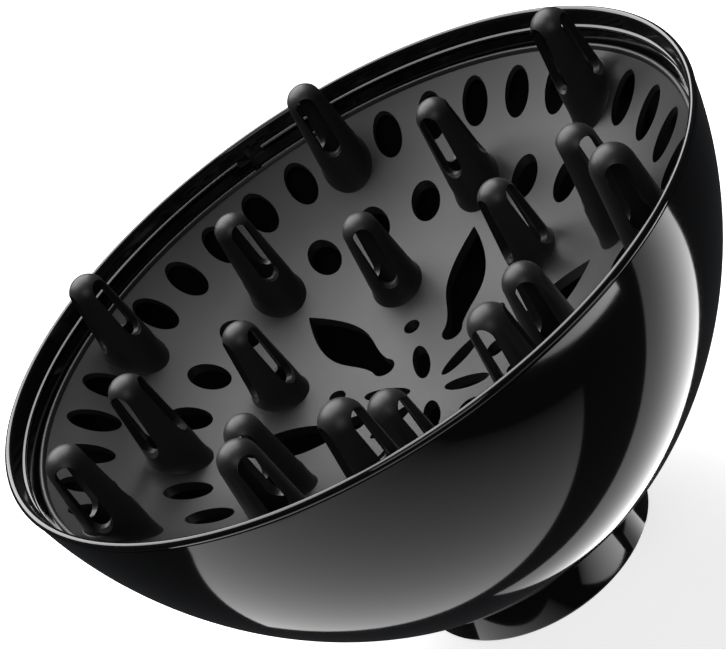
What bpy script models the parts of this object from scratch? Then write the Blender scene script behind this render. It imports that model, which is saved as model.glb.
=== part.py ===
"""Dryer diffuser: a gloss bowl that fits on a hair dryer, with a perforated plate of hollow fingers.

The bowl stands on its neck with its mouth up. The origin is the middle of the neck's open end,
+Z runs up the bowl's axis and +X points at one of the six outer fingers.
"""

from math import cos, pi, radians, sin, tan

import bmesh
import bpy
from mathutils import Matrix, Vector

MM = 0.001

# Overall sizes, in millimetres.
HEIGHT = 78.0  # neck's open end to the top of the rim
RIM_RADIUS = 70.0
GAP = 0.3  # between pieces that touch

# Bowl: a superellipse turned about the axis.
BOWL_RADIUS = RIM_RADIUS  # of the widest circle, which would lie above the rim
BOWL_SQUARENESS = 1.82  # 2 would be an ellipse; less is more conical
BOWL_LIFT = 3.5  # height of that circle above the rim
BOWL_WALL = 1.8
LIP_HEIGHT = 1.5
LIP_RADIUS = 0.7
LIP_OVERHANG = 0.5  # past the wall below it
LIP_BEVEL = 0.3
MOUTH_RADIUS = RIM_RADIUS - 1.5  # inside the lip
MOUTH_BEVEL, MOUTH_BEVEL_HEIGHT = 0.4, 0.6
MOUTH_DRAFT = 0.3  # the mouth narrows this much down to the ridge
RIDGE_DEPTH = 3.6  # below the rim
RIDGE_HEIGHT = 0.5
RIDGE_PROUD = 0.45
RIDGE_BEVEL = 0.1
SEAT_WALL_RADIUS = RIM_RADIUS - 2.5  # wall round the plate's edge
SEAT_DRAFT = 0.15
LEDGE_HEIGHT = 2.5  # of the ledge that carries the plate's edge
LEDGE_BEVEL = 1.0
BASE_FLOOR = 2.2
BASE_BEVEL = 1.5  # where the wall meets the base
BASE_FLAT = 2.5  # ring kept flat round the hole in the base

# Key ribs, which stop the plate from turning.
KEY_COUNT = 3
KEY_ANGLE = 75.0  # degrees from +X
KEYWAY_WIDTH = 6.2
KEYWAY_ROOT = 0.25  # from the mouth to the keyway's back
KEYWAY_BOW = 0.1  # its back bows to follow the wall
KEYWAY_REACH = 1.95  # from the mouth to the cutter's front, clear of the ridge
KEYWAY_BELOW, KEYWAY_ABOVE = 0.1, 0.4  # past the ridge
KEY_RIB_WIDTH = 0.9
KEY_RIB_TOP = 1.4  # below the rim
KEY_RIB_PROUD = 0.9  # at the ledge; it tapers to nothing at the top
KEY_RIB_ROOT = 0.7  # how far it reaches into the wall
KEY_RIB_TOP_PROUD = 0.3  # inside the mouth
KEY_RIB_TOP_ROOT = 0.5
KEY_RIB_SINK = 0.4  # into the ledge

# Finger plate: a dish whose depth falls off as a power of the radius.
PLATE_FIT = 0.4  # between the plate's edge and the seat wall
PLATE_RADIUS = SEAT_WALL_RADIUS - PLATE_FIT
PLATE_EDGE_DEPTH = 6.6  # plate's edge below the rim
PLATE_DEPTH = 35.3  # plate's centre below the rim
PLATE_CURVE = 2.3
PLATE_THICKNESS = 2.0
PLATE_EDGE_HEIGHT = 2.2
PLATE_SEAT_WIDTH = 1.0  # ledge under the plate's edge
PLATE_RIM_WIDTH = 1.2  # thick band round the edge
PLATE_EDGE_BEVEL = 0.35

# Openings in the plate: their circle, then half their length and half their width.
# Each circle is spaced out over the plate, so that the pattern fills whatever radius it has.
OUTER_HOLES = (0.9016 * PLATE_RADIUS, 4.05, 3.1)
MID_HOLES = (0.69 * PLATE_RADIUS, 3.95, 3.3)
SMALL_HOLES = (0.304 * PLATE_RADIUS, 1.65, 1.7)
CENTRE_OVALS = (0.1371 * PLATE_RADIUS, 5.2, 1.8)
OUTER_HOLE_PLACES = 36
MID_HOLE_PLACES = 24
LEAF_TIP = 0.5708 * PLATE_RADIUS
LEAF_BELLY = 0.4024 * PLATE_RADIUS
LEAF_WAIST = 0.2474 * PLATE_RADIUS
LEAF_FOOT = 0.1922 * PLATE_RADIUS
LEAF_FULLNESS = 0.9  # below 1 rounds the tip
LEAF_HALF_WIDTH = 4.5
LEAF_WAIST_HALF_WIDTH = 2.05
LEAF_FOOT_RADIUS = 2.3

# Fingers: (radius of their circle, angle of the first, tip centre above the rim).
SIDES = 6
FINGER_ROWS = (
    (0.8867 * PLATE_RADIUS, 0.0, 2.75),
    (0.6945 * PLATE_RADIUS, 30.0, -5.95),
    (0.4829 * PLATE_RADIUS, 0.0, -15.85),
)
FINGER_TIP_RADIUS = 3.85
FINGER_BASE_RADIUS = 5.0
FINGER_FLARE = 1.1  # the foot spreads this far past the stem, or up to the plate's thick rim
FINGER_FLARE_HEIGHT = 3.2
FLARE_KNEE, FLARE_KNEE_HEIGHT = 0.3, 0.35  # shares of the flare, where it turns outwards
LEAN_HEIGHT = 4.0  # above the flare, where the foot's lean has faded out
DOME_START = 48.0  # degrees above the tip's centre
FINGER_WALL = 1.2
FINGER_SINK = 1.0  # the foot runs this far into the plate
FINGER_FOOT_BORE = 3.2
WINDOW_COUNT = 3  # one of them faces the axis
WINDOW_WIDTH = 3.8
WINDOW_TOP = 1.9  # above the tip's centre
WINDOW_BOTTOM = 11.4  # below the tip's centre
WINDOW_SPACING = 0.1  # keeps the window cutters apart
WINDOW_REACH = 1.5  # of the cutter past the stem

# Neck collar, its clip and its grip sleeve.
COLLAR_BORE = 22.0
COLLAR_WALL = 3.0
COLLAR_RADIUS = COLLAR_BORE + COLLAR_WALL
COLLAR_EDGE_RADIUS = 0.7
COLLAR_SHOULDER = 10.2  # the bowl's base starts here
SPIGOT_WALL = 1.75
SPIGOT_LEAD, SPIGOT_LEAD_HEIGHT = 0.3, 0.4
CLIP_THICKNESS = 1.4
CLIP_GROOVE_DEPTH = 0.75
CLIP_GROOVE_PLAY = 0.1
CLIP_WIDTH = 3.0
CLIP_OPENING = 24.0  # degrees
SNAP_HEIGHT = 1.5
SLEEVE_WALL = 1.1
SLEEVE_LIP = 1.2
SLEEVE_LIP_HEIGHT = 1.2
SLEEVE_LIP_BEVEL = 0.2
SLEEVE_RIBS = 18
SLEEVE_RIB_PROUD = 0.6

BOWL_STEPS = 48
BOWL_RINGS = 9
INNER_RINGS = 7
SHORTEST_FACET = 1.0
COLLAR_STEPS = 36
CLIP_STEPS = 32
PLATE_STEPS = 36
PLATE_RINGS = 7
FACET_OFFSET = 0.25  # keeps the facet lines clear of the middles of holes and fingers
FINGER_STEPS = 9
HOLE_STEPS = 8
LEAF_TIP_STEPS = 4
LEAF_WAIST_STEPS = 3
ROUND_END_STEPS = 2
CUT_PAST = 10.0  # how far an upright cutter runs past what it cuts
SAME_PLACE = 1.0  # degrees between a hole and a finger that share a place
SMOOTH_BELOW = 35.0  # degrees


def clear_scene():
    for obj in list(bpy.data.objects):
        bpy.data.objects.remove(obj, do_unlink=True)


def material(name, colour, roughness, metallic=0.0):
    made = bpy.data.materials.new(name)
    made.use_nodes = True
    shader = made.node_tree.nodes["Principled BSDF"]
    shader.inputs["Base Color"].default_value = (*colour, 1.0)
    shader.inputs["Roughness"].default_value = roughness
    shader.inputs["Metallic"].default_value = metallic
    return made


def new_object(name, bm, finish):
    """An object of this bmesh, shaded smooth across its shallow edges."""
    bmesh.ops.recalc_face_normals(bm, faces=bm.faces)
    mesh = bpy.data.meshes.new(name)
    bm.to_mesh(mesh)
    bm.free()
    mesh.shade_smooth()
    mesh.set_sharp_from_angle(angle=radians(SMOOTH_BELOW))
    obj = bpy.data.objects.new(name, mesh)
    bpy.context.scene.collection.objects.link(obj)
    if finish:
        mesh.materials.append(finish)
    return obj


def turned(outline, steps, start=0.0):
    """A bmesh turned about Z from a closed outline of (radius, height) points in millimetres."""
    bm = bmesh.new()
    rings = []
    for radius, height in outline:
        if radius < 1e-6:
            rings.append([bm.verts.new((0, 0, height * MM))])
            continue
        angles = [2 * pi * (i + start) / steps for i in range(steps)]
        rings.append([bm.verts.new((radius * MM * cos(a), radius * MM * sin(a), height * MM)) for a in angles])
    for here, there in zip(rings, rings[1:] + rings[:1]):
        if len(here) == len(there) == 1:
            continue
        for i in range(steps):
            j = (i + 1) % steps
            corners = [here[i % len(here)], here[j % len(here)], there[j % len(there)], there[i % len(there)]]
            bm.faces.new(list(dict.fromkeys(corners)))
    return bm


def prism(bm, outline, bottom, top):
    """Adds an upright prism on a closed outline of (x, y) points."""
    low = [bm.verts.new((x * MM, y * MM, bottom * MM)) for x, y in outline]
    high = [bm.verts.new((x * MM, y * MM, top * MM)) for x, y in outline]
    bm.faces.new(low[::-1])
    bm.faces.new(high)
    for i in range(len(outline)):
        j = (i + 1) % len(outline)
        bm.faces.new((low[i], low[j], high[j], high[i]))


def turn(points, degrees):
    c, s = cos(radians(degrees)), sin(radians(degrees))
    return [(x * c - y * s, x * s + y * c) for x, y in points]


def combine(obj, other, operation):
    """Adds or cuts another object, which is kept out of sight."""
    other.hide_render = True
    other.display_type = "WIRE"
    boolean = obj.modifiers.new(operation.title(), "BOOLEAN")
    boolean.operation = operation
    boolean.solver = "EXACT"
    boolean.object = other


def arc(centre, radius, start, end, steps):
    """Points of an arc, angles in degrees."""
    turns = [radians(start + (end - start) * i / steps) for i in range(steps + 1)]
    return [(centre[0] + radius * cos(a), centre[1] + radius * sin(a)) for a in turns]


def bowl_radius_at(depth):
    share = ((depth + BOWL_LIFT) / bowl_half_depth()) ** BOWL_SQUARENESS
    return BOWL_RADIUS * (1 - share) ** (1 / BOWL_SQUARENESS)


def bowl_half_depth():
    """Half depth that brings the bowl in to the collar's radius at the collar's shoulder."""
    narrowed = (1 - (COLLAR_RADIUS / BOWL_RADIUS) ** BOWL_SQUARENESS) ** (1 / BOWL_SQUARENESS)
    return (HEIGHT - COLLAR_SHOULDER + BOWL_LIFT) / narrowed


def plate_seat():
    """Height of the underside of the plate's edge."""
    return HEIGHT - PLATE_EDGE_DEPTH - PLATE_EDGE_HEIGHT


def dish_height(radius):
    """Height of the finger plate's upper face."""
    fall = PLATE_DEPTH - PLATE_EDGE_DEPTH
    return HEIGHT - PLATE_DEPTH + fall * (radius / PLATE_RADIUS) ** PLATE_CURVE


def dish_slope(radius):
    fall = PLATE_DEPTH - PLATE_EDGE_DEPTH
    return fall * PLATE_CURVE / PLATE_RADIUS * (radius / PLATE_RADIUS) ** (PLATE_CURVE - 1)


def bowl_outline():
    """The wall's section: down the outside, across the base and up the inside."""
    span = HEIGHT - COLLAR_SHOULDER - LIP_HEIGHT
    depths = [LIP_HEIGHT + span * sin(pi / 2 * i / BOWL_RINGS) for i in range(BOWL_RINGS + 1)]
    outside = [(bowl_radius_at(d), HEIGHT - d) for d in depths]
    hole = COLLAR_BORE + SPIGOT_WALL + GAP
    floor = COLLAR_SHOULDER + BASE_FLOOR
    ledge = plate_seat() - GAP
    ledge_radius = PLATE_RADIUS - PLATE_SEAT_WIDTH
    ledge_foot = ledge - LEDGE_HEIGHT
    inner_span = ledge_foot - floor
    depths = [HEIGHT - ledge_foot + inner_span * sin(pi / 2 * i / INNER_RINGS) for i in range(1, INNER_RINGS)]
    inside = [(bowl_radius_at(d) - BOWL_WALL, HEIGHT - d) for d in depths[::-1]]
    inside = [(r, z) for r, z in inside if z > floor + SHORTEST_FACET and r > hole + BASE_FLAT]
    lip = arc((RIM_RADIUS - LIP_RADIUS, HEIGHT - LIP_RADIUS), LIP_RADIUS, 90, 0, 3)
    lip_foot = HEIGHT - LIP_HEIGHT
    ridge = HEIGHT - RIDGE_DEPTH
    ridge_foot = ridge - RIDGE_HEIGHT
    ridge_wall = MOUTH_RADIUS - MOUTH_DRAFT
    return (
        lip
        + [(RIM_RADIUS, lip_foot + LIP_BEVEL), (RIM_RADIUS - LIP_OVERHANG, lip_foot)]
        + outside[1:]
        + [(hole, COLLAR_SHOULDER), (hole, floor), (inside[0][0] - BASE_BEVEL, floor)]
        + inside
        + [
            (bowl_radius_at(HEIGHT - ledge_foot) - BOWL_WALL, ledge_foot),
            (ledge_radius, ledge_foot + LEDGE_BEVEL),
            (ledge_radius, ledge),
            (SEAT_WALL_RADIUS, ledge),
            (SEAT_WALL_RADIUS + SEAT_DRAFT, ridge_foot),
            (ridge_wall - RIDGE_PROUD, ridge_foot + RIDGE_BEVEL),
            (ridge_wall - RIDGE_PROUD, ridge),
            (ridge_wall, ridge + RIDGE_BEVEL / 2),
            (MOUTH_RADIUS, HEIGHT - MOUTH_BEVEL_HEIGHT),
            (MOUTH_RADIUS + MOUTH_BEVEL, HEIGHT),
        ]
    )


def key_rib(bm, degrees):
    """Adds a rib that runs up the wall from the ledge and tapers off towards the rim."""
    low = plate_seat() - GAP - KEY_RIB_SINK
    high = HEIGHT - KEY_RIB_TOP
    section = [
        (SEAT_WALL_RADIUS - KEY_RIB_PROUD, low),
        (SEAT_WALL_RADIUS + KEY_RIB_ROOT, low),
        (MOUTH_RADIUS + KEY_RIB_TOP_ROOT, high),
        (MOUTH_RADIUS - KEY_RIB_TOP_PROUD, high),
    ]
    spin = Matrix.Rotation(radians(degrees), 4, "Z")
    half = KEY_RIB_WIDTH / 2
    sides = [[bm.verts.new(spin @ (Vector((x, y, z)) * MM)) for x, z in section] for y in (-half, half)]
    bm.faces.new(sides[0])
    bm.faces.new(sides[1][::-1])
    for i in range(len(section)):
        j = (i + 1) % len(section)
        bm.faces.new((sides[0][i], sides[1][i], sides[1][j], sides[0][j]))


def build_bowl(gloss):
    bowl = new_object("bowl_shell", turned(bowl_outline(), BOWL_STEPS), gloss)
    inner = MOUTH_RADIUS - KEYWAY_REACH
    outer = MOUTH_RADIUS - KEYWAY_ROOT
    side = outer - KEYWAY_BOW
    half = KEYWAY_WIDTH / 2
    slot = [(inner, -half), (side, -half), (outer, 0), (side, half), (inner, half)]
    ridge = HEIGHT - RIDGE_DEPTH
    keyways = bmesh.new()
    ribs = bmesh.new()
    for i in range(KEY_COUNT):
        angle = KEY_ANGLE + 360 * i / KEY_COUNT
        prism(keyways, turn(slot, angle), ridge - RIDGE_HEIGHT - KEYWAY_BELOW, ridge + KEYWAY_ABOVE)
        key_rib(ribs, angle)
    combine(bowl, new_object("keyway_cutter", keyways, None), "DIFFERENCE")
    combine(bowl, new_object("key_ribs_shape", ribs, None), "UNION")


def ellipse(centre, half_length, half_width, degrees):
    points = [
        (centre + half_length * cos(2 * pi * i / HOLE_STEPS), half_width * sin(2 * pi * i / HOLE_STEPS))
        for i in range(HOLE_STEPS)
    ]
    return turn(points, degrees)


def leaf(degrees):
    """A leaf that points outwards, with a narrow waist and a round foot."""
    side = []
    for i in range(LEAF_TIP_STEPS):
        t = i / LEAF_TIP_STEPS
        x = LEAF_TIP + (LEAF_BELLY - LEAF_TIP) * t
        side.append((x, LEAF_HALF_WIDTH * sin(pi / 2 * t) ** LEAF_FULLNESS))
    for i in range(LEAF_WAIST_STEPS):
        t = i / LEAF_WAIST_STEPS
        x = LEAF_BELLY + (LEAF_WAIST - LEAF_BELLY) * t
        blend = (1 - cos(pi * t)) / 2
        side.append((x, LEAF_HALF_WIDTH + (LEAF_WAIST_HALF_WIDTH - LEAF_HALF_WIDTH) * blend))
    side.append((LEAF_WAIST, LEAF_WAIST_HALF_WIDTH))
    side += arc((LEAF_FOOT + LEAF_FOOT_RADIUS, 0), LEAF_FOOT_RADIUS, 90, 180, 2)[:-1]
    mirrored = [(x, -y) for x, y in side[:0:-1]]
    return turn(side + [(LEAF_FOOT, 0)] + mirrored, degrees)


def on_a_finger(row_radius, degrees):
    """Whether a finger stands on this angle of the circle nearest to that radius."""
    first = min(FINGER_ROWS, key=lambda row: abs(row[0] - row_radius))[1]
    return abs((degrees - first + 180 / SIDES) % (360 / SIDES) - 180 / SIDES) < SAME_PLACE


def build_plate(satin):
    radii = [PLATE_RADIUS * i / PLATE_RINGS for i in range(1, PLATE_RINGS)]
    edge_top = HEIGHT - PLATE_EDGE_DEPTH
    seat = plate_seat()
    outline = (
        [(0, dish_height(0))]
        + [(r, dish_height(r)) for r in radii + [PLATE_RADIUS - PLATE_SEAT_WIDTH]]
        + [(PLATE_RADIUS - PLATE_EDGE_BEVEL, edge_top), (PLATE_RADIUS, edge_top - PLATE_EDGE_BEVEL)]
        + [(PLATE_RADIUS, seat), (PLATE_RADIUS - PLATE_RIM_WIDTH, seat)]
        + [(r, dish_height(r) - PLATE_THICKNESS) for r in radii[::-1]]
        + [(0, dish_height(0) - PLATE_THICKNESS)]
    )
    plate = new_object("finger_plate", turned(outline, PLATE_STEPS, FACET_OFFSET), satin)

    cutters = bmesh.new()
    bottom, top = HEIGHT - PLATE_DEPTH - CUT_PAST, HEIGHT + CUT_PAST
    for (radius, half_length, half_width), places in (
        (OUTER_HOLES, OUTER_HOLE_PLACES),
        (MID_HOLES, MID_HOLE_PLACES),
    ):
        for i in range(places):
            angle = 360 * i / places
            if not on_a_finger(radius, angle):
                prism(cutters, ellipse(radius, half_length, half_width, angle), bottom, top)
    for i in range(SIDES):
        angle = 360 * i / SIDES
        prism(cutters, ellipse(*SMALL_HOLES, angle), bottom, top)
        prism(cutters, ellipse(*CENTRE_OVALS, angle), bottom, top)
        prism(cutters, leaf(angle + 180 / SIDES), bottom, top)
    half = KEY_RIB_WIDTH / 2 + GAP
    inner, outer = PLATE_RADIUS - KEY_RIB_PROUD, PLATE_RADIUS + CUT_PAST
    notch = [(inner, -half), (outer, -half), (outer, half), (inner, half)]
    for i in range(KEY_COUNT):
        prism(cutters, turn(notch, KEY_ANGLE + 360 * i / KEY_COUNT), bottom, top)
    fingers, hollows, windows = bmesh.new(), bmesh.new(), bmesh.new()
    for radius, first, tip_height in FINGER_ROWS:
        for i in range(SIDES):
            place = Matrix.Rotation(radians(first + 360 * i / SIDES), 4, "Z")
            place @= Matrix.Translation((radius * MM, 0, 0))
            add_finger(fingers, hollows, windows, place, radius, HEIGHT + tip_height)
    combine(plate, new_object("fingers_shape", fingers, None), "UNION")
    combine(plate, new_object("plate_cutter", cutters, None), "DIFFERENCE")
    combine(plate, new_object("finger_hollows_cutter", hollows, None), "DIFFERENCE")
    combine(plate, new_object("finger_windows_cutter", windows, None), "DIFFERENCE")


def add_finger(fingers, hollows, windows, place, radius, centre):
    """Adds one finger, its hollow and its windows. The foot leans with the slope of the plate."""
    foot = dish_height(radius)
    slope = dish_slope(radius)
    stem_foot = foot + FINGER_FLARE_HEIGHT
    dome = [(0, centre + FINGER_TIP_RADIUS)] + arc((0, centre), FINGER_TIP_RADIUS, DOME_START, 0, 1)
    room = PLATE_RADIUS - PLATE_RIM_WIDTH - radius
    spread = max(0.0, min(FINGER_FLARE, room - FINGER_BASE_RADIUS))
    flare = [
        (FINGER_BASE_RADIUS, stem_foot),
        (FINGER_BASE_RADIUS + spread * FLARE_KNEE, foot + FINGER_FLARE_HEIGHT * FLARE_KNEE_HEIGHT),
        (FINGER_BASE_RADIUS + spread, foot - FINGER_SINK),
        (0, foot - FINGER_SINK),
    ]
    stem = turned(dome + flare, FINGER_STEPS)
    upright = stem_foot + LEAN_HEIGHT
    for vert in stem.verts:
        share = min(1.0, max(0.0, (upright - vert.co.z / MM) / (FINGER_FLARE_HEIGHT + LEAN_HEIGHT)))
        vert.co.z += vert.co.x * slope * share
    bmesh.ops.triangulate(stem, faces=stem.faces)
    bore = FINGER_TIP_RADIUS - FINGER_WALL
    drop = foot - PLATE_THICKNESS - CUT_PAST
    hollow_outline = [(0, centre + bore), (bore, centre), (FINGER_FOOT_BORE, stem_foot)]
    hollow = turned(hollow_outline + [(FINGER_FOOT_BORE, drop), (0, drop)], FINGER_STEPS)
    for source, target in ((stem, fingers), (hollow, hollows)):
        bmesh.ops.recalc_face_normals(source, faces=source.faces)
        moved = {vert: target.verts.new(place @ vert.co) for vert in source.verts}
        for face in source.faces:
            target.faces.new([moved[vert] for vert in face.verts])
        source.free()

    half = WINDOW_WIDTH / 2
    outline = arc((0, centre + WINDOW_TOP - half), half, 0, 180, ROUND_END_STEPS)
    outline += arc((0, centre - WINDOW_BOTTOM + half), half, 180, 360, ROUND_END_STEPS)
    start = half / tan(pi / WINDOW_COUNT) + WINDOW_SPACING
    for i in range(WINDOW_COUNT):
        spin = place @ Matrix.Rotation(pi + 2 * pi * i / WINDOW_COUNT, 4, "Z")
        near, far = [
            [windows.verts.new(spin @ (Vector((x, y, z)) * MM)) for y, z in outline]
            for x in (start, FINGER_BASE_RADIUS + WINDOW_REACH)
        ]
        windows.faces.new(near[::-1])
        windows.faces.new(far)
        for j in range(len(outline)):
            k = (j + 1) % len(outline)
            windows.faces.new((near[j], near[k], far[k], far[j]))


def collar_outline():
    """The collar's section: a ring below the bowl and a spigot that reaches up through its base."""
    spigot = COLLAR_BORE + SPIGOT_WALL
    groove = spigot - CLIP_GROOVE_DEPTH
    floor = COLLAR_SHOULDER + BASE_FLOOR
    clip_top = floor + GAP + CLIP_THICKNESS + GAP
    top = clip_top + SNAP_HEIGHT
    lip_radius = COLLAR_BORE - SLEEVE_LIP
    return (
        [(COLLAR_BORE, top), (spigot - SPIGOT_LEAD, top), (spigot, top - SPIGOT_LEAD_HEIGHT)]
        + [(spigot, clip_top), (groove, clip_top)]
        + [(groove, floor + CLIP_GROOVE_PLAY), (spigot, floor + CLIP_GROOVE_PLAY)]
        + [(spigot, COLLAR_SHOULDER - GAP), (COLLAR_RADIUS, COLLAR_SHOULDER - GAP)]
        + arc((COLLAR_RADIUS - COLLAR_EDGE_RADIUS, COLLAR_EDGE_RADIUS), COLLAR_EDGE_RADIUS, 0, -90, 2)
        + [(lip_radius + SLEEVE_LIP_BEVEL, 0), (lip_radius, SLEEVE_LIP_BEVEL)]
        + [(lip_radius, SLEEVE_LIP_HEIGHT), (COLLAR_BORE, SLEEVE_LIP_HEIGHT)]
    )


def build_clip(finish):
    """An open ring that snaps into the spigot's groove and holds the bowl on."""
    inner = COLLAR_BORE + SPIGOT_WALL - CLIP_GROOVE_DEPTH + GAP
    outer = inner + CLIP_WIDTH
    half = CLIP_OPENING / 2
    bottom = COLLAR_SHOULDER + BASE_FLOOR + GAP
    clip = bmesh.new()
    outline = arc((0, 0), outer, half, 360 - half, CLIP_STEPS)
    outline += arc((0, 0), inner, 360 - half, half, CLIP_STEPS)
    low = [clip.verts.new((x * MM, y * MM, bottom * MM)) for x, y in outline]
    high = [clip.verts.new((x * MM, y * MM, (bottom + CLIP_THICKNESS) * MM)) for x, y in outline]
    last = len(outline) - 1
    for i in range(len(outline)):
        j = (i + 1) % len(outline)
        clip.faces.new((low[i], low[j], high[j], high[i]))
    for i in range(len(outline) // 2 - 1):
        clip.faces.new((low[i], low[last - i], low[last - i - 1], low[i + 1]))
        clip.faces.new((high[i], high[i + 1], high[last - i - 1], high[last - i]))
    new_object("retaining_clip", clip, finish)


def build_sleeve(rubber):
    """A soft sleeve with upright ribs, which grips the dryer's barrel."""
    outer = COLLAR_BORE - GAP
    inner = outer - SLEEVE_WALL
    top = COLLAR_SHOULDER + BASE_FLOOR
    bottom = SLEEVE_LIP_HEIGHT + GAP
    sleeve = bmesh.new()
    steps = SLEEVE_RIBS * 4
    rings = []
    for i in range(steps):
        a = 2 * pi * i / steps
        bore = inner - (SLEEVE_RIB_PROUD if i % 4 in (1, 2) else 0)
        corners = ((outer, bottom), (outer, top), (bore, top), (bore, bottom))
        rings.append([sleeve.verts.new((r * MM * cos(a), r * MM * sin(a), z * MM)) for r, z in corners])
    for here, there in zip(rings, rings[1:] + rings[:1]):
        for k in range(4):
            n = (k + 1) % 4
            sleeve.faces.new((here[k], there[k], there[n], here[n]))
    new_object("grip_sleeve", sleeve, rubber)


def main():
    clear_scene()
    gloss = material("gloss_black", (0.012, 0.012, 0.013), 0.08)
    satin = material("satin_black", (0.03, 0.03, 0.031), 0.42)
    nylon = material("nylon_black", (0.035, 0.035, 0.035), 0.5)
    rubber = material("rubber_black", (0.02, 0.02, 0.02), 0.75)
    build_bowl(gloss)
    build_plate(satin)
    new_object("neck_collar", turned(collar_outline(), COLLAR_STEPS), gloss)
    build_clip(nylon)
    build_sleeve(rubber)


main()
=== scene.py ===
"""Dryer diffuser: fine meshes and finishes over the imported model, in a plain studio."""

from math import cos, pi, radians, sin, tan

import bmesh
import bpy
from mathutils import Matrix, Vector


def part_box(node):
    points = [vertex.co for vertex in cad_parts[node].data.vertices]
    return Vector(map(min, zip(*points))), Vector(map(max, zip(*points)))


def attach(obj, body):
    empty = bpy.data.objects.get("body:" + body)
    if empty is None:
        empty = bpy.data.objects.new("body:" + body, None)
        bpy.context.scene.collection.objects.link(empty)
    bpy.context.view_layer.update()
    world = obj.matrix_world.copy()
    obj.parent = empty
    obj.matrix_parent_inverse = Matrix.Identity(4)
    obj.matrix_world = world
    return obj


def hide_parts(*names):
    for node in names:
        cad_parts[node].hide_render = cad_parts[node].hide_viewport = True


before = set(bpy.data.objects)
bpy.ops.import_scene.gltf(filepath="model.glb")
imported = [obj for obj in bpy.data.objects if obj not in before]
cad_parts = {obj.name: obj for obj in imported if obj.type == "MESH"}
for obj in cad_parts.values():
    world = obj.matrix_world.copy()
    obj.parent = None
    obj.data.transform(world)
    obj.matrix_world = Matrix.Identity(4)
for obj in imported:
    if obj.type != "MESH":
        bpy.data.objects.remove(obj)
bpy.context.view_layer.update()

MM = 0.001

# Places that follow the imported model, in millimetres.
bowl_low, bowl_high = (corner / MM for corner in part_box("bowl_shell"))
_, collar_high = (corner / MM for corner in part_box("neck_collar"))
HEIGHT = bowl_high.z
RIM_RADIUS = bowl_high.x
SHOULDER = bowl_low.z
COLLAR_RADIUS = collar_high.x
COLLAR_TOP = collar_high.z
PLATE_INSET = 2.9
PLATE_RADIUS = RIM_RADIUS - PLATE_INSET
GAP = 0.3

# Bowl.
BOWL_SQUARENESS = 1.82
BOWL_LIFT = 3.5
BOWL_WALL = 1.8
BOWL_FLOOR = 2.2
FLOOR_FILLET = 1.5
FLOOR_LAND = 2.5  # flat floor left around the hole
FOOT_HEIGHT = 0.25
LIP_HEIGHT = 1.5
LIP_RADIUS = 0.72
SEAT_WALL_INSET = 2.5
SEAT_WALL_RADIUS = RIM_RADIUS - SEAT_WALL_INSET
LEDGE_THICKNESS = 2.5
LEDGE_WIDTH = 1.0  # under the plate's edge
MOUTH_INSET = 1.5
RIDGE_DEPTH = 3.6
RIDGE_BEAD = 0.3
RIDGE_PROUD = 0.45
KEY_COUNT = 3
KEY_ANGLE = 75.0
KEYWAY_WIDTH = 6.2
KEYWAY_LENGTH = 3.0
KEY_RIB_WIDTH = 0.9
KEY_RIB_TOP = 1.4  # below the rim
KEY_RIB_SINK = 0.4  # into the ledge

# Finger plate.
PLATE_EDGE_DEPTH = 6.6
PLATE_DEPTH = 35.3
PLATE_CURVE = 2.3
PLATE_THICKNESS = 2.0
PLATE_EDGE_HEIGHT = 2.2
PLATE_EDGE_RADIUS = 0.48
PLATE_EDGE_WIDTH = 1.2
NOTCH_DEPTH = 0.9
OUTER_HOLES = (0.9016 * PLATE_RADIUS, 4.05, 3.1)
MID_HOLES = (0.69 * PLATE_RADIUS, 3.95, 3.3)
SMALL_HOLES = (0.304 * PLATE_RADIUS, 1.65, 1.7)
CENTRE_OVALS = (0.1371 * PLATE_RADIUS, 5.2, 1.8)
LEAF_TIP = 0.5708 * PLATE_RADIUS
LEAF_BELLY = 0.4024 * PLATE_RADIUS
LEAF_WAIST = 0.2474 * PLATE_RADIUS
LEAF_FOOT = 0.1922 * PLATE_RADIUS
LEAF_HALF_WIDTH = 4.5
LEAF_WAIST_HALF_WIDTH = 2.05
LEAF_FOOT_RADIUS = 2.3

# Fingers: radius of the row, angle of its first finger, tip centre above the rim.
SIDES = 6
FINGER_ROWS = (
    (0.8867 * PLATE_RADIUS, 0.0, 2.75),
    (0.6945 * PLATE_RADIUS, 30.0, -5.95),
    (0.4829 * PLATE_RADIUS, 0.0, -15.85),
)
FINGER_TIP_RADIUS = 3.85
FINGER_BASE_RADIUS = 5.0
FINGER_FLARE = 1.1
FINGER_FLARE_HEIGHT = 3.2
FINGER_WALL = 1.2
FINGER_SINK = 1.0
FINGER_FOOT_BORE = 3.2
WINDOW_COUNT = 3
WINDOW_WIDTH = 3.8
WINDOW_TOP = 1.9
WINDOW_BOTTOM = 11.4
WINDOW_BEVEL = 0.6

# Collar.
COLLAR_BORE = 22.0
SPIGOT_WALL = 1.75
CLIP_GROOVE_DEPTH = 0.75
SLEEVE_LIP = 1.2
SLEEVE_LIP_HEIGHT = 1.2
COLLAR_BEVEL = 0.3
FOOT_RADIUS = 0.8
SPIGOT_BEVEL = 0.3
SPIGOT_BEVEL_HEIGHT = 0.4
GROOVE_FLOOR_LIFT = 0.1

OUTSIDE_RINGS = 48
INSIDE_RINGS = 30
DISH_RINGS = 44
FLARE_RINGS = 10
BOWL_STEPS = 288
PLATE_STEPS = 180
COLLAR_STEPS = 192
FINGER_STEPS = 36
HOLE_STEPS = 40
CUT_MARGIN = 1.5  # how far a cutter reaches past what it cuts
SMOOTH_BELOW = 32  # degrees

# Studio, in metres.
PANEL_HEIGHT = -1.0
FLOOR_SIZE = 6.0
FLOOR_DROP = 0.0002


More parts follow.
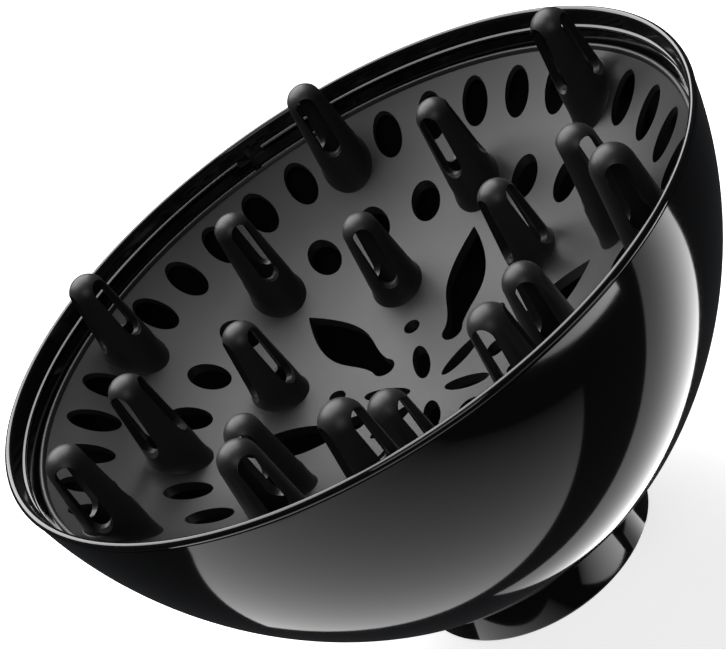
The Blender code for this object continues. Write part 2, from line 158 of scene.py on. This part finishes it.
class Value:
    """A number socket in a node tree, so that shader maths reads as an expression."""

    def __init__(self, tree, socket):
        self.tree = tree
        self.socket = socket

    def maths(self, operation, other, swapped=False):
        first, second = (other, self) if swapped else (self, other)
        return self.tree.add("ShaderNodeMath", {"operation": operation}, {0: first, 1: second})

    def __add__(self, other):
        return self.maths("ADD", other)

    def __radd__(self, other):
        return self.maths("ADD", other, True)

    def __sub__(self, other):
        return self.maths("SUBTRACT", other)

    def __rsub__(self, other):
        return self.maths("SUBTRACT", other, True)

    def __mul__(self, other):
        return self.maths("MULTIPLY", other)

    def __rmul__(self, other):
        return self.maths("MULTIPLY", other, True)

    def __pow__(self, other):
        return self.maths("POWER", other)


class Finish:
    """A procedural material with one Principled shader."""

    def __init__(self, name):
        self.material = bpy.data.materials.new(name)
        self.material.use_nodes = True
        self.nodes = self.material.node_tree.nodes
        self.links = self.material.node_tree.links
        self.shader = self.nodes["Principled BSDF"]

    def add(self, kind, settings=None, inputs=None, output=0):
        """Adds a node, sets it up, feeds its sockets and returns one of its outputs."""
        node = self.nodes.new(kind)
        for key, value in (settings or {}).items():
            setattr(node, key, value)
        for key, value in (inputs or {}).items():
            self.feed(node.inputs[key], value)
        return Value(self, node.outputs[output])

    def feed(self, socket, value):
        if isinstance(value, Value):
            self.links.new(value.socket, socket)
        else:
            socket.default_value = value

    def set(self, **sockets):
        for name, value in sockets.items():
            self.feed(self.shader.inputs[name.replace("_", " ")], value)

    def noise(self, scale, detail=2.0, roughness=0.5):
        place = self.add("ShaderNodeTexCoord", output="Object")
        sizes = {"Vector": place, "Scale": scale, "Detail": detail, "Roughness": roughness}
        return self.add("ShaderNodeTexNoise", None, sizes)

    def mix(self, share, low, high):
        sockets = {"Factor": share, 6: (*low, 1.0), 7: (*high, 1.0)}
        return self.add("ShaderNodeMix", {"data_type": "RGBA"}, sockets, 2)

    def bump(self, height, strength, distance):
        sockets = {"Height": height, "Strength": strength, "Distance": distance}
        return self.add("ShaderNodeBump", None, sockets)


def gloss_black(name):
    """Polished moulded plastic: near black, with faint flow waviness and handling haze."""
    finish = Finish(name)
    haze = finish.noise(38.0, 4.0, 0.6)
    dust = finish.noise(1900.0, 2.0, 0.7)
    finish.set(
        Base_Color=finish.mix(haze, (0.0045, 0.0045, 0.005), (0.008, 0.008, 0.009)),
        Roughness=0.035 + haze * 0.03 + dust * 0.015,
        Normal=finish.bump(finish.noise(24.0, 1.0), 0.05, 0.0004),
    )
    finish.shader.inputs["IOR"].default_value = 1.52
    return finish.material


def satin_black(name):
    """Fine spark-eroded texture, a little rougher on the crests."""
    finish = Finish(name)
    grain = finish.noise(3200.0, 3.0, 0.6)
    cloud = finish.noise(60.0, 3.0)
    finish.set(
        Base_Color=finish.mix(cloud, (0.014, 0.014, 0.0145), (0.022, 0.022, 0.0225)),
        Roughness=0.36 + cloud * 0.08 + grain * 0.08,
        Normal=finish.bump(grain, 0.22, 0.00005),
    )
    finish.shader.inputs["IOR"].default_value = 1.5
    return finish.material


def nylon_black(name):
    finish = Finish(name)
    grain = finish.noise(900.0, 3.0)
    finish.set(
        Base_Color=finish.mix(grain, (0.02, 0.02, 0.02), (0.032, 0.032, 0.031)),
        Roughness=0.42 + grain * 0.14,
        Normal=finish.bump(grain, 0.15, 0.0001),
    )
    return finish.material


def moulded_inside(name):
    """Unpolished inner wall, which hardly shines."""
    finish = Finish(name)
    grain = finish.noise(700.0, 3.0)
    finish.set(
        Base_Color=finish.mix(grain, (0.004, 0.004, 0.004), (0.008, 0.008, 0.008)),
        Roughness=0.78 + grain * 0.12,
        Normal=finish.bump(grain, 0.2, 0.0001),
        Specular_IOR_Level=0.08,
    )
    return finish.material


def rubber_black(name):
    finish = Finish(name)
    grain = finish.noise(1400.0, 4.0, 0.7)
    bloom = finish.noise(70.0, 2.0)
    finish.set(
        Base_Color=finish.mix(bloom, (0.011, 0.011, 0.011), (0.024, 0.024, 0.023)),
        Roughness=0.66 + bloom * 0.18,
        Normal=finish.bump(grain, 0.35, 0.00012),
    )
    return finish.material


def turned(outline, steps, start=0.0):
    """A bmesh turned about Z from a closed outline of (radius, height) points."""
    bm = bmesh.new()
    rings = []
    for radius, height in outline:
        if radius < 1e-6:
            rings.append([bm.verts.new((0, 0, height * MM))])
            continue
        angles = [2 * pi * (i + start) / steps for i in range(steps)]
        points = [(radius * MM * cos(a), radius * MM * sin(a), height * MM) for a in angles]
        rings.append([bm.verts.new(point) for point in points])
    for here, there in zip(rings, rings[1:] + rings[:1]):
        if len(here) == len(there) == 1:
            continue
        for i in range(steps):
            j = (i + 1) % steps
            corners = [here[i % len(here)], here[j % len(here)]]
            corners += [there[j % len(there)], there[i % len(there)]]
            bm.faces.new(list(dict.fromkeys(corners)))
    return bm


def new_object(name, bm, finish=None, smooth_below=SMOOTH_BELOW):
    bmesh.ops.recalc_face_normals(bm, faces=bm.faces)
    mesh = bpy.data.meshes.new(name)
    bm.to_mesh(mesh)
    bm.free()
    if finish:
        mesh.materials.append(finish)
    obj = bpy.data.objects.new(name, mesh)
    bpy.context.scene.collection.objects.link(obj)
    mesh.shade_smooth()
    mesh.set_sharp_from_angle(angle=radians(smooth_below))
    return obj


def prism(bm, outline, bottom, top):
    low = [bm.verts.new((x * MM, y * MM, bottom * MM)) for x, y in outline]
    high = [bm.verts.new((x * MM, y * MM, top * MM)) for x, y in outline]
    bm.faces.new(low[::-1])
    bm.faces.new(high)
    for i in range(len(outline)):
        j = (i + 1) % len(outline)
        bm.faces.new((low[i], low[j], high[j], high[i]))


def turn(points, degrees):
    c, s = cos(radians(degrees)), sin(radians(degrees))
    return [(x * c - y * s, x * s + y * c) for x, y in points]


def arc(centre, radius, start, end, steps):
    turns = [radians(start + (end - start) * i / steps) for i in range(steps + 1)]
    return [(centre[0] + radius * cos(a), centre[1] + radius * sin(a)) for a in turns]


def carve(obj, steps, smooth_below=SMOOTH_BELOW):
    """Applies a list of (operation, shape), keeping the object's finish on every face."""
    for operation, shape in steps:
        boolean = obj.modifiers.new(operation, "BOOLEAN")
        boolean.operation = operation
        boolean.solver = "MANIFOLD"
        boolean.object = shape
    graph = bpy.context.evaluated_depsgraph_get()
    mesh = bpy.data.meshes.new_from_object(obj.evaluated_get(graph))
    finish = obj.data.materials[0]
    obj.modifiers.clear()
    obj.data = mesh
    mesh.materials.clear()
    mesh.materials.append(finish)
    mesh.polygons.foreach_set("material_index", [0] * len(mesh.polygons))
    for _, shape in steps:
        bpy.data.objects.remove(shape)
    mesh.shade_smooth()
    mesh.set_sharp_from_angle(angle=radians(smooth_below))


def bowl_radius_at(depth):
    narrowed = (1 - (COLLAR_RADIUS / RIM_RADIUS) ** BOWL_SQUARENESS) ** (1 / BOWL_SQUARENESS)
    half_depth = (HEIGHT - SHOULDER + BOWL_LIFT) / narrowed
    share = ((depth + BOWL_LIFT) / half_depth) ** BOWL_SQUARENESS
    return RIM_RADIUS * (1 - share) ** (1 / BOWL_SQUARENESS)


def dish_height(radius):
    fall = PLATE_DEPTH - PLATE_EDGE_DEPTH
    return HEIGHT - PLATE_DEPTH + fall * (radius / PLATE_RADIUS) ** PLATE_CURVE


def dish_slope(radius):
    fall = PLATE_DEPTH - PLATE_EDGE_DEPTH
    return fall * PLATE_CURVE / PLATE_RADIUS * (radius / PLATE_RADIUS) ** (PLATE_CURVE - 1)


def build_bowl(finish, inner_finish):
    """Bowl with a beaded lip, a bead inside that the keyways break, and key ribs."""
    span = HEIGHT - SHOULDER - LIP_HEIGHT - FOOT_HEIGHT
    rings = [pi / 2 * i / OUTSIDE_RINGS for i in range(OUTSIDE_RINGS + 1)]
    outer = [LIP_HEIGHT + span * sin(a) for a in rings]
    outside = [(bowl_radius_at(d), HEIGHT - d) for d in outer]
    hole = COLLAR_BORE + SPIGOT_WALL + GAP
    floor = SHOULDER + BOWL_FLOOR
    ledge = HEIGHT - PLATE_EDGE_DEPTH - PLATE_EDGE_HEIGHT - GAP
    ledge_foot = ledge - LEDGE_THICKNESS
    rings = [pi / 2 * i / INSIDE_RINGS for i in range(1, INSIDE_RINGS)]
    inner = [HEIGHT - ledge_foot + (ledge_foot - floor) * sin(a) for a in rings]
    inside = [(bowl_radius_at(d) - BOWL_WALL, HEIGHT - d) for d in inner[::-1]]
    inside = [(r, z) for r, z in inside if z > floor + 1 and r > hole + FLOOR_LAND]
    mouth = RIM_RADIUS - MOUTH_INSET
    ridge = HEIGHT - RIDGE_DEPTH
    bead = arc((mouth - RIDGE_PROUD, ridge - RIDGE_BEAD), RIDGE_BEAD, 270, 90, 8)
    lip = arc((RIM_RADIUS - LIP_RADIUS, HEIGHT - LIP_RADIUS), LIP_RADIUS, 150, -35, 14)
    outline = (
        lip
        + [(RIM_RADIUS - 0.42, HEIGHT - LIP_HEIGHT + 0.12)]
        + outside
        + [(COLLAR_RADIUS - 0.15, SHOULDER + 0.05), (COLLAR_RADIUS - 0.4, SHOULDER)]
        + [(hole, SHOULDER), (hole, floor), (inside[0][0] - FLOOR_FILLET, floor)]
        + inside
        + [
            (bowl_radius_at(HEIGHT - ledge_foot) - BOWL_WALL, ledge_foot),
            (PLATE_RADIUS - LEDGE_WIDTH, ledge_foot + 1.0),
            (PLATE_RADIUS - LEDGE_WIDTH, ledge),
            (SEAT_WALL_RADIUS, ledge),
            (SEAT_WALL_RADIUS + 0.2, ridge - 2 * RIDGE_BEAD - 0.5),
            (SEAT_WALL_RADIUS + 0.75, ridge - 2 * RIDGE_BEAD - 0.4),
        ]
        + bead
        + [(mouth - 0.25, ridge + 0.15), (mouth, HEIGHT - 0.9)]
    )
    bowl = new_object("bowl", turned(outline, BOWL_STEPS), finish)
    keyways, ribs = bmesh.new(), bmesh.new()
    for i in range(KEY_COUNT):
        angle = KEY_ANGLE + 360 * i / KEY_COUNT
        half = KEYWAY_WIDTH / 2
        slot = [(mouth - KEYWAY_LENGTH, -half), (mouth - 0.3, -half), (mouth - 0.24, 0)]
        slot += [(mouth - 0.3, half), (mouth - KEYWAY_LENGTH, half)]
        prism(keyways, turn(slot, angle), ridge - 2 * RIDGE_BEAD - 0.35, ridge + 0.35)
        key_rib(ribs, angle, ledge - KEY_RIB_SINK, mouth)
    carve(
        bowl,
        [
            ("DIFFERENCE", new_object("keyways", keyways)),
            ("UNION", new_object("key_ribs", ribs)),
        ],
    )
    bowl.data.materials.append(inner_finish)
    for face in bowl.data.polygons:
        outward = face.normal.x * face.center.x + face.normal.y * face.center.y
        if face.center.z < ledge * MM and outward < 0:
            face.material_index = 1
    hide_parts("bowl_shell")
    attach(bowl, "bowl")


def key_rib(bm, degrees, low, mouth):
    high = HEIGHT - KEY_RIB_TOP
    section = [
        (SEAT_WALL_RADIUS - 0.9, low),
        (SEAT_WALL_RADIUS + 0.7, low),
        (mouth + 0.5, high),
        (mouth - 0.3, high),
    ]
    spin = Matrix.Rotation(radians(degrees), 4, "Z")
    half = KEY_RIB_WIDTH / 2
    sides = [
        [bm.verts.new(spin @ (Vector((x, y, z)) * MM)) for x, z in section]
        for y in (-half, half)
    ]
    bm.faces.new(sides[0])
    bm.faces.new(sides[1][::-1])
    for i in range(len(section)):
        j = (i + 1) % len(section)
        bm.faces.new((sides[0][i], sides[1][i], sides[1][j], sides[0][j]))


def ellipse(centre, half_length, half_width, degrees):
    steps = [2 * pi * (i + 0.5) / HOLE_STEPS for i in range(HOLE_STEPS)]
    return turn([(centre + half_length * cos(a), half_width * sin(a)) for a in steps], degrees)


def leaf(degrees):
    side = []
    for i in range(16):
        t = i / 16
        half = LEAF_HALF_WIDTH * sin(pi / 2 * t) ** 0.9
        side.append((LEAF_TIP + (LEAF_BELLY - LEAF_TIP) * t, half))
    for i in range(14):
        t = i / 14
        blend = (1 - cos(pi * t)) / 2
        half = LEAF_HALF_WIDTH + (LEAF_WAIST_HALF_WIDTH - LEAF_HALF_WIDTH) * blend
        side.append((LEAF_BELLY + (LEAF_WAIST - LEAF_BELLY) * t, half))
    side.append((LEAF_WAIST, LEAF_WAIST_HALF_WIDTH))
    side += arc((LEAF_FOOT + LEAF_FOOT_RADIUS, 0), LEAF_FOOT_RADIUS, 90, 180, 8)[:-1]
    mirrored = [(x, -y) for x, y in side[:0:-1]]
    return turn(side + [(LEAF_FOOT, 0)] + mirrored, degrees)


def free_places(count, row):
    """Angles of a ring of holes, leaving out those where a finger of the row stands."""
    first = FINGER_ROWS[row][1]
    angles = [360 * i / count for i in range(count)]
    return [a for a in angles if (a - first) % (360 / SIDES) > 1e-6]


def build_plate(finish):
    """Perforated dish with its fingers, in one moulding."""
    radii = [PLATE_RADIUS * i / DISH_RINGS for i in range(1, DISH_RINGS)]
    radii = [r for r in radii if r < PLATE_RADIUS - 1.4]
    edge_top = HEIGHT - PLATE_EDGE_DEPTH
    seat = edge_top - PLATE_EDGE_HEIGHT
    outline = (
        [(0, dish_height(0))]
        + [(r, dish_height(r)) for r in radii]
        + [(PLATE_RADIUS - 1.05, dish_height(PLATE_RADIUS - 1.05))]
        + arc((PLATE_RADIUS - 0.5, edge_top - PLATE_EDGE_RADIUS), PLATE_EDGE_RADIUS, 150, 0, 10)
        + [(PLATE_RADIUS, seat), (PLATE_RADIUS - PLATE_EDGE_WIDTH, seat)]
        + [(r, dish_height(r) - PLATE_THICKNESS) for r in radii[-6::-2]]
        + [(0, dish_height(0) - PLATE_THICKNESS)]
    )
    plate = new_object("plate_with_fingers", turned(outline, PLATE_STEPS, 0.3), finish)
    bottom, top = HEIGHT - PLATE_DEPTH - 10, HEIGHT + 5
    holes = bmesh.new()
    for shape, count, row in ((OUTER_HOLES, 36, 0), (MID_HOLES, 24, 1)):
        for angle in free_places(count, row):
            prism(holes, ellipse(*shape, angle), bottom, top)
    for i in range(SIDES):
        angle = 360 * i / SIDES
        prism(holes, ellipse(*SMALL_HOLES, angle), bottom, top)
        prism(holes, ellipse(*CENTRE_OVALS, angle), bottom, top)
        prism(holes, leaf(angle + 180 / SIDES), bottom, top)
    for i in range(KEY_COUNT):
        half = KEY_RIB_WIDTH / 2 + GAP
        notch = [(PLATE_RADIUS - NOTCH_DEPTH, -half), (PLATE_RADIUS + 2, -half)]
        notch += [(PLATE_RADIUS + 2, half), (PLATE_RADIUS - NOTCH_DEPTH, half)]
        prism(holes, turn(notch, KEY_ANGLE + 360 * i / KEY_COUNT), seat - 3, HEIGHT)
    stems, hollows, windows, bevels = bmesh.new(), bmesh.new(), bmesh.new(), bmesh.new()
    for radius, first, tip_height in FINGER_ROWS:
        for i in range(SIDES):
            place = Matrix.Rotation(radians(first + 360 * i / SIDES), 4, "Z")
            place @= Matrix.Translation((radius * MM, 0, 0))
            add_finger(stems, hollows, windows, bevels, place, radius, HEIGHT + tip_height)
    carve(
        plate,
        [
            ("UNION", new_object("finger_stems", stems)),
            ("DIFFERENCE", new_object("window_bevels", bevels)),
            ("DIFFERENCE", new_object("plate_holes", holes)),
            ("DIFFERENCE", new_object("finger_hollows", hollows)),
            ("DIFFERENCE", new_object("finger_windows", windows)),
        ],
    )
    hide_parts("finger_plate")
    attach(plate, "plate")


def add_finger(stems, hollows, windows, bevels, place, radius, centre):
    foot = dish_height(radius)
    slope = dish_slope(radius)
    stem_foot = foot + FINGER_FLARE_HEIGHT
    dome = [(0, centre + FINGER_TIP_RADIUS)] + arc((0, centre), FINGER_TIP_RADIUS, 81, 0, 9)
    flare = []
    for i in range(FLARE_RINGS + 1):
        a = pi / 2 * i / FLARE_RINGS
        flare.append((
            FINGER_BASE_RADIUS + FINGER_FLARE * (1 - cos(a)),
            stem_foot - (FINGER_FLARE_HEIGHT + FINGER_SINK * 0.3) * sin(a),
        ))
    reach = FINGER_BASE_RADIUS + FINGER_FLARE
    outline = dome + flare + [(reach, foot - FINGER_SINK), (0, foot - FINGER_SINK)]
    stem = turned(outline, FINGER_STEPS)
    for vert in stem.verts:
        share = min(1.0, max(0.0, (stem_foot + 2 - vert.co.z / MM) / (FINGER_FLARE_HEIGHT + 2)))
        vert.co.z += vert.co.x * slope * share * share * (3 - 2 * share)
    bmesh.ops.triangulate(stem, faces=stem.faces)
    bore = FINGER_TIP_RADIUS - FINGER_WALL
    drop = foot - FINGER_FOOT_BORE * slope - PLATE_THICKNESS - CUT_MARGIN
    crown = [(0, centre + bore)] + arc((0, centre), bore, 72, 0, 4)
    shaft = [(FINGER_FOOT_BORE, stem_foot), (FINGER_FOOT_BORE, drop), (0, drop)]
    hollow = turned(crown + shaft, FINGER_STEPS, 0.5)
    for source, target in ((stem, stems), (hollow, hollows)):
        bmesh.ops.recalc_face_normals(source, faces=source.faces)
        moved = {vert: target.verts.new(place @ vert.co) for vert in source.verts}
        for face in source.faces:
            target.faces.new([moved[vert] for vert in face.verts])
        source.free()
    start = WINDOW_WIDTH / 2 / tan(pi / WINDOW_COUNT) + 0.1
    for i in range(WINDOW_COUNT):
        spin = place @ Matrix.Rotation(pi + 2 * pi * i / WINDOW_COUNT, 4, "Z")
        near = [(start, y, z) for y, z in window_outline(centre, 0)]
        far = [(FINGER_BASE_RADIUS + CUT_MARGIN, y, z) for y, z in window_outline(centre, 0)]
        loft(windows, spin, near, far)
        near, far = (
            [
                (stem_radius(z, centre, stem_foot) + proud * WINDOW_BEVEL, y, z)
                for y, z in window_outline(centre, grow * WINDOW_BEVEL)
            ]
            for proud, grow in ((-1.5, -0.5), (1.0, 2.0))
        )
        loft(bevels, spin, near, far)


def window_outline(centre, grow):
    """The window's upright slot with round ends, grown on every side."""
    half = WINDOW_WIDTH / 2
    top, bottom = centre + WINDOW_TOP - half, centre - WINDOW_BOTTOM + half
    return arc((0, top), half + grow, 0, 180, 14) + arc((0, bottom), half + grow, 180, 360, 14)


def stem_radius(height, centre, stem_foot):
    share = (centre - height) / (centre - stem_foot)
    return FINGER_TIP_RADIUS + (FINGER_BASE_RADIUS - FINGER_TIP_RADIUS) * share


def loft(bm, place, near, far):
    """Adds a closed solid between two matching outlines."""
    near, far = [
        [bm.verts.new(place @ (Vector(point) * MM)) for point in ring]
        for ring in (near, far)
    ]
    bm.faces.new(near[::-1])
    bm.faces.new(far)
    for i in range(len(near)):
        j = (i + 1) % len(near)
        bm.faces.new((near[i], near[j], far[j], far[i]))


def build_collar(finish):
    """Neck ring with softened end edges and the spigot inside the bowl."""
    spigot = COLLAR_BORE + SPIGOT_WALL
    groove = spigot - CLIP_GROOVE_DEPTH
    clip_low, clip_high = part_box("retaining_clip")
    clip_top = clip_high.z / MM + GAP
    floor = clip_low.z / MM - GAP
    lip = COLLAR_BORE - SLEEVE_LIP
    top = SHOULDER - GAP
    outline = (
        [(COLLAR_BORE, COLLAR_TOP), (spigot - SPIGOT_BEVEL, COLLAR_TOP)]
        + [(spigot, COLLAR_TOP - SPIGOT_BEVEL_HEIGHT), (spigot, clip_top), (groove, clip_top)]
        + [(groove, floor + GROOVE_FLOOR_LIFT), (spigot, floor + GROOVE_FLOOR_LIFT)]
        + [(spigot, top)]
        + arc((COLLAR_RADIUS - COLLAR_BEVEL, top - COLLAR_BEVEL), COLLAR_BEVEL, 90, 0, 6)
        + arc((COLLAR_RADIUS - FOOT_RADIUS, FOOT_RADIUS), FOOT_RADIUS, 0, -90, 12)
        + [(lip + COLLAR_BEVEL, 0), (lip, COLLAR_BEVEL)]
        + [(lip, SLEEVE_LIP_HEIGHT), (COLLAR_BORE, SLEEVE_LIP_HEIGHT)]
    )
    collar = new_object("neck_ring", turned(outline, COLLAR_STEPS), finish)
    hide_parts("neck_collar")
    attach(collar, "collar")


def refinish(node, finish):
    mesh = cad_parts[node].data
    mesh.materials.clear()
    mesh.materials.append(finish)


def look_from(location, right, down, forward):
    """A rotation from the directions that a viewer sees as right, down and forward."""
    turn_to = Matrix((Vector(right), -Vector(down), -Vector(forward))).transposed()
    placed = turn_to.to_4x4()
    placed.translation = Vector(location) * MM
    return placed


def build_camera():
    data = bpy.data.cameras.new("camera")
    data.lens = 89.8
    data.sensor_width = 36.0
    camera = bpy.data.objects.new("camera", data)
    bpy.context.scene.collection.objects.link(camera)
    camera.matrix_world = look_from(
        (-86.17, -276.67, HEIGHT + 137.05),
        (0.70663, -0.49300, -0.50757),
        (-0.66026, -0.20149, -0.72350),
        (0.25441, 0.84638, -0.46789),
    )
    bpy.context.scene.camera = camera


def area_light(name, location, target, size, power):
    """A square soft light of a size in metres and a power in watts."""
    data = bpy.data.lights.new(name, "AREA")
    data.shape = "SQUARE"
    data.size = size
    data.energy = power
    light = bpy.data.objects.new(name, data)
    bpy.context.scene.collection.objects.link(light)
    light.location = location
    light.rotation_euler = (Vector(target) - Vector(location)).to_track_quat("-Z", "Y").to_euler()


def soft_panel(name, centre, heading, size, glow, falloff=1.0):
    """A flat rectangle below the floor whose glow fades along its heading, in degrees from +X."""
    length, width = size
    bright, dim = glow
    bm = bmesh.new()
    corners = ((-length, -width), (length, -width), (length, width), (-length, width))
    bm.faces.new([bm.verts.new((x / 2, y / 2, 0)) for x, y in corners])
    panel = new_object(name, bm)
    panel.location = (*centre, PANEL_HEIGHT)
    panel.rotation_euler.z = radians(heading)
    finish = Finish(name)
    place = finish.add("ShaderNodeTexCoord", output="Object")
    along = finish.add("ShaderNodeSeparateXYZ", None, {"Vector": place}, "X")
    share = 0.5 - along * (1 / length)
    finish.set(
        Base_Color=(0, 0, 0, 1),
        Emission_Color=share**falloff * (bright - dim) + dim,
        Emission_Strength=1.0,
        Specular_IOR_Level=0.0,
    )
    panel.data.materials.append(finish.material)
    panel.visible_camera = False
    panel.visible_diffuse = False


def build_studio():
    floor_mesh = bmesh.new()
    bmesh.ops.create_grid(floor_mesh, x_segments=1, y_segments=1, size=FLOOR_SIZE)
    floor = new_object("floor", floor_mesh)
    floor.location.z = -FLOOR_DROP
    paper = Finish("pale_paper")
    grain = paper.noise(400.0, 3.0)
    paper.set(
        Base_Color=paper.mix(grain, (0.93, 0.93, 0.93), (0.96, 0.96, 0.96)),
        Roughness=0.9,
        Emission_Color=(1.0, 1.0, 1.0, 1.0),
        Emission_Strength=0.75,
    )
    floor.data.materials.append(paper.material)
    floor.visible_glossy = False
    floor.visible_diffuse = False
    floor.visible_shadow = False
    area_light("overhead", (0.1, 0.8, 1.15), (0, 0, 0.06), 1.7, 44.0)
    area_light("front_fill", (-0.5, -1.1, 1.0), (0, 0, 0.05), 0.8, 3.0)
    soft_panel("left_panel", (-0.58, -0.15), -65, (1.75, 1.3), (1.45, 0.04), 0.8)
    soft_panel("right_panel", (0.76, 0.02), -135, (0.56, 1.65), (4.0, 0.6), 2.0)
    soft_panel("neck_panel", (0.56, -1.34), -153, (1.15, 0.6), (4.5, 0.25))
    world = bpy.data.worlds.new("studio")
    world.use_nodes = True
    background = world.node_tree.nodes["Background"]
    background.inputs["Color"].default_value = (0.9, 0.93, 1.0, 1.0)
    background.inputs["Strength"].default_value = 0.03
    bpy.context.scene.world = world
    bpy.context.scene.view_settings.view_transform = "Standard"


build_camera()
build_bowl(gloss_black("gloss_black"), moulded_inside("moulded_inside"))
build_plate(satin_black("satin_black"))
build_collar(gloss_black("gloss_black_collar"))
refinish("retaining_clip", nylon_black("nylon_black"))
refinish("grip_sleeve", rubber_black("rubber_black"))
build_studio()
